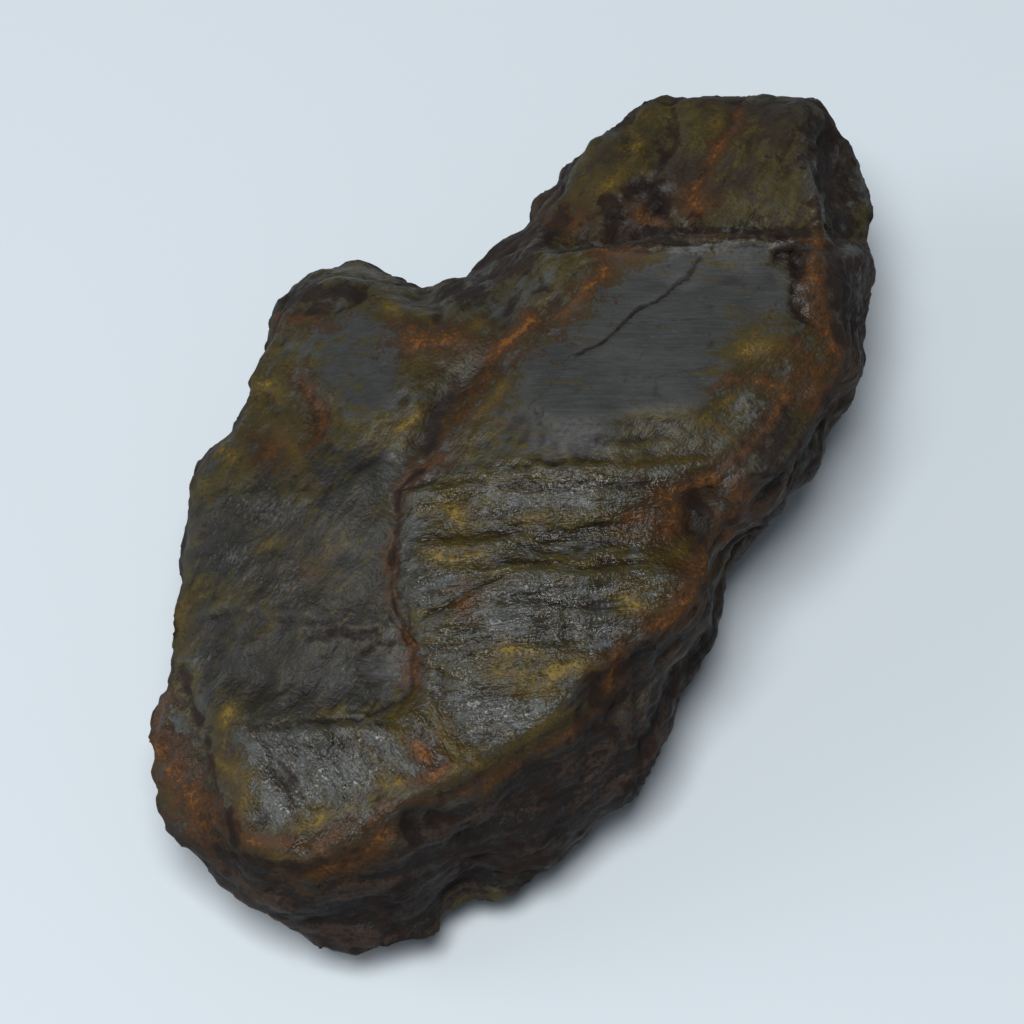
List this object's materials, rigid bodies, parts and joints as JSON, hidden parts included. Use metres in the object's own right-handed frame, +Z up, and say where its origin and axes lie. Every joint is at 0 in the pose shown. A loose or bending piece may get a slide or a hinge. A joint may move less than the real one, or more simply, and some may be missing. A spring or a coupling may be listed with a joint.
{
  "type": "rough sapphire",
  "caption": "Water-worn, iron-stained piece of rough sapphire: a flattened irregular stone with a ledge across it, a long seam and rusty rims, lying on a flat side.",
  "frame": {"origin": "under the middle of the stone's bounding box, on the surface that it lies on", "axes": "+Z up, +Y along the stone, from its narrow front tip to the stepped-down block at its back, +X to the right of someone who looks along +Y"},
  "size_m": [0.0284, 0.0496, 0.0157],
  "materials": {
    "stone": null
  },
  "bodies": {
    "root": {"sapphire": "stone"}
  },
  "joints": []
}
